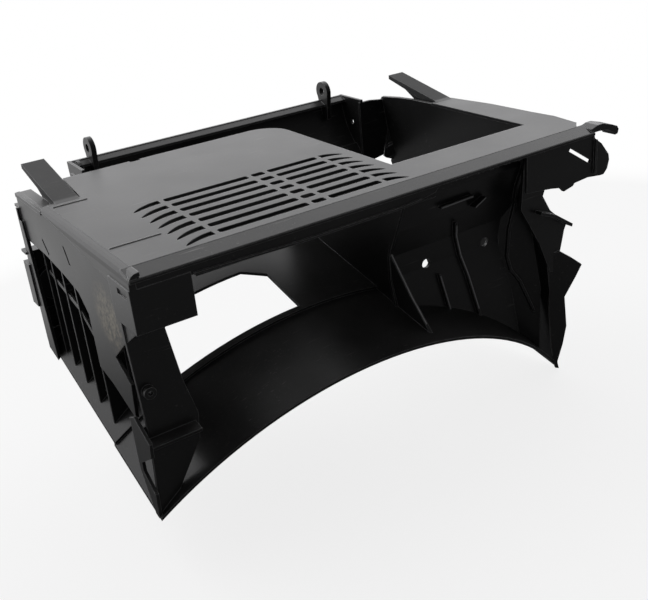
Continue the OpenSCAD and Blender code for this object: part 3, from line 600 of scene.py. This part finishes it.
def black_plastic(name, tone=0.018, gloss=0.30, grain_depth=0.00002):
    """Dyed plastic: tone is the colour's level, gloss the roughness of a clean flat face."""
    material, tree = new_tree_material(name)
    where = add(tree, "ShaderNodeTexCoord", (-1300, 0))
    grain = add(tree, "ShaderNodeGroup", (-1000, 200), node_tree=GRAIN)
    edges = add(tree, "ShaderNodeGroup", (-1000, -50), node_tree=EDGES)
    dust = add(tree, "ShaderNodeGroup", (-1000, -300), node_tree=DUST)
    marks = add(tree, "ShaderNodeGroup", (-1000, -550), node_tree=MARKS)
    zones = add(tree, "ShaderNodeGroup", (-1000, -750), node_tree=ZONES)
    polished = add(tree, "ShaderNodeMath", (-700, -750), operation="MULTIPLY_ADD")
    polished.inputs[1].default_value = STRIP_SHINES
    dull = add(tree, "ShaderNodeMath", (-500, -750), operation="MULTIPLY_ADD")
    dull.inputs[1].default_value = TABS_DULL
    for node in (grain, edges, dust, marks, zones):
        tree.links.new(where.outputs["Object"], node.inputs["Vector"])
    dust.inputs["Amount"].default_value = DUST_AMOUNT
    base = add(tree, "ShaderNodeMix", (-700, 300), data_type="RGBA")
    base.inputs[MIX_A].default_value = (tone * 0.8, tone * 0.8, tone * 0.82, 1)
    base.inputs[MIX_B].default_value = (tone * 1.25, tone * 1.25, tone * 1.28, 1)
    # Edges turn pale here: partly wear, partly a painted highlight.
    worn_and_highlit = add(tree, "ShaderNodeMix", (-500, 200), data_type="RGBA")
    worn_and_highlit.inputs[MIX_B].default_value = WORN_AND_HIGHLIT
    scuffed = add(tree, "ShaderNodeMix", (-400, 300), data_type="RGBA")
    scuffed.inputs[MIX_B].default_value = SCUFFED
    dusty = add(tree, "ShaderNodeMix", (-300, 100), data_type="RGBA")
    dusty.inputs[MIX_B].default_value = DUSTY
    rough = add(tree, "ShaderNodeMapRange", (-700, -50))
    rough.inputs["To Min"].default_value = gloss - 0.05
    rough.inputs["To Max"].default_value = gloss + 0.09
    rougher = add(tree, "ShaderNodeMath", (-500, -50), operation="MULTIPLY_ADD")
    rougher.inputs[1].default_value = DUST_DULLS
    bump = add(tree, "ShaderNodeBump", (-300, -250), Strength=1.0)
    bump.inputs["Distance"].default_value = grain_depth
    sandy = add(tree, "ShaderNodeMix", (-150, 100), data_type="RGBA")
    sandy.inputs[MIX_B].default_value = SAND
    plastic = add(tree, "ShaderNodeBsdfPrincipled", (0, 0))
    plastic.inputs["IOR"].default_value = 1.5
    out = add(tree, "ShaderNodeOutputMaterial", (300, 0))
    tree.links.new(grain.outputs["Blotch"], base.inputs["Factor"])
    tree.links.new(base.outputs[MIX_RESULT], worn_and_highlit.inputs[MIX_A])
    tree.links.new(edges.outputs["Mask"], worn_and_highlit.inputs["Factor"])
    tree.links.new(worn_and_highlit.outputs[MIX_RESULT], scuffed.inputs[MIX_A])
    tree.links.new(marks.outputs["Mask"], scuffed.inputs["Factor"])
    tree.links.new(scuffed.outputs[MIX_RESULT], dusty.inputs[MIX_A])
    tree.links.new(dust.outputs["Mask"], dusty.inputs["Factor"])
    tree.links.new(dusty.outputs[MIX_RESULT], sandy.inputs[MIX_A])
    tree.links.new(zones.outputs["Sandy"], sandy.inputs["Factor"])
    tree.links.new(sandy.outputs[MIX_RESULT], plastic.inputs["Base Color"])
    tree.links.new(grain.outputs["Blotch"], rough.inputs["Value"])
    tree.links.new(dust.outputs["Mask"], rougher.inputs[0])
    tree.links.new(rough.outputs["Result"], rougher.inputs[2])
    tree.links.new(zones.outputs["Strip"], polished.inputs[0])
    tree.links.new(rougher.outputs[0], polished.inputs[2])
    tree.links.new(zones.outputs["Tabs"], dull.inputs[0])
    tree.links.new(polished.outputs[0], dull.inputs[2])
    tree.links.new(dull.outputs[0], plastic.inputs["Roughness"])
    tree.links.new(grain.outputs["Height"], bump.inputs["Height"])
    tree.links.new(edges.outputs["Normal"], bump.inputs["Normal"])
    tree.links.new(bump.outputs["Normal"], plastic.inputs["Normal"])
    tree.links.new(plastic.outputs[0], out.inputs["Surface"])
    return material


BLACK = black_plastic("black_plastic")
for slot in cover.material_slots:
    slot.material = BLACK
if not cover.material_slots:
    cover.data.materials.append(BLACK)
print("slots", len(cover.material_slots))

# %% [markdown]
# ## Lines that follow a path
# A fine bead runs along the lower edge of the lip. It is swept: a polyline goes in, a round profile is
# carried along it, and the result is turned into a plain closed mesh before it joins the frame. A tree of
# Geometry Nodes does it, because the same tree then serves every thin line of the part.

# %% Swept bead tree


def swept_bead_tree():
    """Geometry Nodes: polyline in, rounded corners, round bar out."""
    tree = bpy.data.node_groups.new("swept_bead", "GeometryNodeTree")
    tree.interface.new_socket("Geometry", in_out="INPUT", socket_type="NodeSocketGeometry")
    for label, value in (("Radius", 0.0004), ("Corner", 0.003)):
        socket = tree.interface.new_socket(label, in_out="INPUT", socket_type="NodeSocketFloat")
        socket.default_value = value
    tree.interface.new_socket("Material", in_out="INPUT", socket_type="NodeSocketMaterial")
    tree.interface.new_socket("Geometry", in_out="OUTPUT", socket_type="NodeSocketGeometry")
    start = tree.nodes.new("NodeGroupInput")
    end = tree.nodes.new("NodeGroupOutput")
    line = tree.nodes.new("GeometryNodeMeshToCurve")
    fillet = tree.nodes.new("GeometryNodeFilletCurve")
    fillet.mode = "POLY"
    fillet.inputs["Count"].default_value = 5
    ring = tree.nodes.new("GeometryNodeCurvePrimitiveCircle")
    ring.inputs["Resolution"].default_value = 10
    sweep = tree.nodes.new("GeometryNodeCurveToMesh")
    sweep.inputs["Fill Caps"].default_value = True
    smooth = tree.nodes.new("GeometryNodeSetShadeSmooth")
    real = tree.nodes.new("GeometryNodeRealizeInstances")
    paint = tree.nodes.new("GeometryNodeSetMaterial")
    for k, node in enumerate((start, line, fillet, ring, sweep, smooth, real, paint, end)):
        node.location = (180 * k, 0)
    tree.links.new(start.outputs["Geometry"], line.inputs["Mesh"])
    tree.links.new(line.outputs["Curve"], fillet.inputs["Curve"])
    tree.links.new(start.outputs["Corner"], fillet.inputs["Radius"])
    tree.links.new(start.outputs["Radius"], ring.inputs["Radius"])
    tree.links.new(fillet.outputs["Curve"], sweep.inputs["Curve"])
    tree.links.new(ring.outputs["Curve"], sweep.inputs["Profile Curve"])
    tree.links.new(sweep.outputs["Mesh"], smooth.inputs["Geometry"])
    tree.links.new(smooth.outputs["Geometry"], real.inputs["Geometry"])
    tree.links.new(real.outputs["Geometry"], paint.inputs["Geometry"])
    tree.links.new(start.outputs["Material"], paint.inputs["Material"])
    tree.links.new(paint.outputs["Geometry"], end.inputs["Geometry"])
    return tree


# %% From a node tree to a piece


def set_input(modifier, label, value):
    """Set a named input of a Geometry Nodes modifier by its socket identifier."""
    for item in modifier.node_group.interface.items_tree:
        if item.item_type == "SOCKET" and item.in_out == "INPUT" and item.name == label:
            modifier[item.identifier] = value


def grown(name, mesh, tree, **values):
    """An object whose mesh is what the node tree makes of the given mesh."""
    source = bpy.data.objects.new(name + "_source", mesh)
    bpy.context.collection.objects.link(source)
    modifier = source.modifiers.new("grow", "NODES")
    modifier.node_group = tree
    for label, value in values.items():
        set_input(modifier, label, value)
    view = bpy.context.evaluated_depsgraph_get()
    view.update()
    plain = bpy.data.meshes.new_from_object(source.evaluated_get(view))
    bpy.data.objects.remove(source)
    plain.name = name
    piece = bpy.data.objects.new(name, plain)
    bpy.context.collection.objects.link(piece)
    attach(piece, "root")
    print(name, len(plain.polygons), "faces")
    return piece


def polyline(name, points):
    """A mesh of edges only, from points in millimetres."""
    mesh = bpy.data.meshes.new(name)
    mesh.from_pydata([at(*p) for p in points], [(k, k + 1) for k in range(len(points) - 1)], [])
    return mesh


# %% Bead of the lip
BEAD = swept_bead_tree()
BEAD_RADIUS = 0.00045
LIP = [(43, 1.3, -14.1), (120, 1.3, -14.1), (235, 1.3, -14.1)]
grown("lip_bead", polyline("lip_line", LIP), BEAD, Radius=BEAD_RADIUS, Corner=0.0, Material=BLACK)

# %% [markdown]
# ## Painted highlights on the rib edges
# The ribs in the well are thin, and in the dark of the well the light that their edges catch is the only
# thing that shows. Each edge gets a painted highlight: a swept line in a paler version of the plastic,
# which stays crisp where a mask would need a very fine mesh.

# %% Painted highlights on the rib edges
# The rib edges are a painted highlight: a pale plastic swept along each edge.
RIB_HIGHLIGHT_RADIUS = 0.00055
RIB_HIGHLIGHT_PAINT = black_plastic("rib_highlight_plastic", tone=0.50, gloss=0.5)
RIB_HIGHLIGHT_LINES = {
    "rib_edge_long": [
        (304.2, 58.9, -72), (308.1, 64.2, -84), (314.2, 66.2, -104),
        (320.2, 63.6, -123.9), (327.6, 59.2, -157)],
    "rib_edge_short": [(289.9, 64.8, -115), (293.3, 62.6, -132), (296.9, 60.2, -150)],
    "wall_edge": [(241.3, 66.6, -80.9), (244.6, 46.9, -113.2), (246.7, 31.9, -133.2)],
    "ridge_edge_long": [(281.6, 50.1, -48), (314.8, 50.1, -47)],
    "ridge_edge_short": [(317.6, 50.1, -57.2), (328.6, 50.1, -51.8)]}
for name, line in RIB_HIGHLIGHT_LINES.items():
    grown(name, polyline(name + "_line", line), BEAD, Radius=RIB_HIGHLIGHT_RADIUS, Corner=0.0, Material=RIB_HIGHLIGHT_PAINT)

# %% [markdown]
# ## Crumbs on the broken lip
# To the right of the lip the edge under the bar is rough, because the rest of the lip has broken away. The
# small bits that still hold on are scattered along a line, each turned and sized by chance with a fixed
# seed, so that every render shows the same ones.

# %% Crumbs on the broken lip
CRUMB_DRIFT = Vector((0.0012, 0.0002, 0.0005))
FULL_TURN = 6.28
# A Random Value node has sockets for every kind of data. These are the ones that carry plain numbers.
RANDOM_LEAST, RANDOM_MOST, RANDOM_NUMBER = 2, 3, 1


def crumb_tree():
    """Geometry Nodes: polyline in, small uneven crumbs scattered along it."""
    tree = bpy.data.node_groups.new("crumbs", "GeometryNodeTree")
    tree.interface.new_socket("Geometry", in_out="INPUT", socket_type="NodeSocketGeometry")
    inputs = (
        ("Count", "NodeSocketInt", 40),
        ("Smallest", "NodeSocketFloat", 0.3),
        ("Largest", "NodeSocketFloat", 1.0),
        ("Seed", "NodeSocketInt", 7))
    for label, kind, value in inputs:
        socket = tree.interface.new_socket(label, in_out="INPUT", socket_type=kind)
        socket.default_value = value
    tree.interface.new_socket("Material", in_out="INPUT", socket_type="NodeSocketMaterial")
    tree.interface.new_socket("Geometry", in_out="OUTPUT", socket_type="NodeSocketGeometry")
    start = tree.nodes.new("NodeGroupInput")
    end = tree.nodes.new("NodeGroupOutput")
    line = tree.nodes.new("GeometryNodeMeshToCurve")
    spread = tree.nodes.new("GeometryNodeResampleCurve")
    nudge = tree.nodes.new("GeometryNodeSetPosition")
    offset = tree.nodes.new("FunctionNodeRandomValue")
    offset.data_type = "FLOAT_VECTOR"
    offset.inputs[0].default_value = -CRUMB_DRIFT
    offset.inputs[1].default_value = CRUMB_DRIFT
    crumb = tree.nodes.new("GeometryNodeMeshIcoSphere")
    crumb.inputs["Radius"].default_value = MM
    crumb.inputs["Subdivisions"].default_value = 1
    grow = tree.nodes.new("FunctionNodeRandomValue")
    turn = tree.nodes.new("FunctionNodeRandomValue")
    turn.data_type = "FLOAT_VECTOR"
    turn.inputs[1].default_value = (FULL_TURN, FULL_TURN, FULL_TURN)
    place = tree.nodes.new("GeometryNodeInstanceOnPoints")
    real = tree.nodes.new("GeometryNodeRealizeInstances")
    paint = tree.nodes.new("GeometryNodeSetMaterial")
    row = (start, line, spread, nudge, offset, crumb, grow, turn, place, real, paint, end)
    for k, node in enumerate(row):
        node.location = (180 * k, 0)
    tree.links.new(start.outputs["Geometry"], line.inputs["Mesh"])
    tree.links.new(line.outputs["Curve"], spread.inputs["Curve"])
    tree.links.new(start.outputs["Count"], spread.inputs["Count"])
    tree.links.new(spread.outputs["Curve"], nudge.inputs["Geometry"])
    tree.links.new(offset.outputs[0], nudge.inputs["Offset"])
    tree.links.new(start.outputs["Seed"], offset.inputs["Seed"])
    tree.links.new(start.outputs["Smallest"], grow.inputs[RANDOM_LEAST])
    tree.links.new(start.outputs["Largest"], grow.inputs[RANDOM_MOST])
    tree.links.new(start.outputs["Seed"], grow.inputs["Seed"])
    tree.links.new(nudge.outputs["Geometry"], place.inputs["Points"])
    tree.links.new(crumb.outputs["Mesh"], place.inputs["Instance"])
    tree.links.new(grow.outputs[RANDOM_NUMBER], place.inputs["Scale"])
    tree.links.new(turn.outputs[0], place.inputs["Rotation"])
    tree.links.new(place.outputs["Instances"], real.inputs["Geometry"])
    tree.links.new(real.outputs["Geometry"], paint.inputs["Geometry"])
    tree.links.new(start.outputs["Material"], paint.inputs["Material"])
    tree.links.new(paint.outputs["Geometry"], end.inputs["Geometry"])
    return tree


ROUGH_EDGE = [(239, 1.7, -6.6), (280, 1.7, -6.6), (345, 1.7, -6.6)]
grown(
    "lip_crumbs", polyline("rough_line", ROUGH_EDGE), crumb_tree(),
    Count=60, Smallest=0.35, Largest=1.2, Seed=7, Material=BLACK)

# %% [markdown]
# ## Corner of the well
# Behind the well the right panel bends inwards to the rear wall. The bent corner is too small to need nodes:
# one outline and its copy, joined by their sides, make a closed plate.

# %% Corner of the well


def plate_between(name, outline, push, material):
    """A closed plate: an outline in millimetres and its copy moved by push."""
    count = len(outline)
    points = [at(*p) for p in outline] + [at(*p) + Vector(push) * MM for p in outline]
    faces = [list(range(count)), list(range(2 * count - 1, count - 1, -1))]
    faces += [[(k + 1) % count, k, count + k, count + (k + 1) % count] for k in range(count)]
    mesh = bpy.data.meshes.new(name)
    mesh.from_pydata(points, [], faces)
    mesh.materials.append(material)
    work = bmesh.new()
    work.from_mesh(mesh)
    bmesh.ops.recalc_face_normals(work, faces=work.faces)
    work.to_mesh(mesh)
    work.free()
    piece = bpy.data.objects.new(name, mesh)
    bpy.context.collection.objects.link(piece)
    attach(piece, "root")
    print(name, len(mesh.polygons), "faces")
    return piece


CORNER = [
    (376.6, 247.6, -36), (371.2, 247.6, -66.5), (374, 246.6, -69), (381.6, 246.6, -72),
    (381.6, 240, -64), (380.6, 238.5, -56), (378, 242.5, -41)]
CORNER_WALL = (0.3, -1.8, 0)
plate_between("well_corner", CORNER, CORNER_WALL, BLACK)

# %% [markdown]
# ## Colour view
# The colours are shown as they are, without a film curve.

# %% Finish
bpy.context.scene.view_settings.view_transform = "Standard"
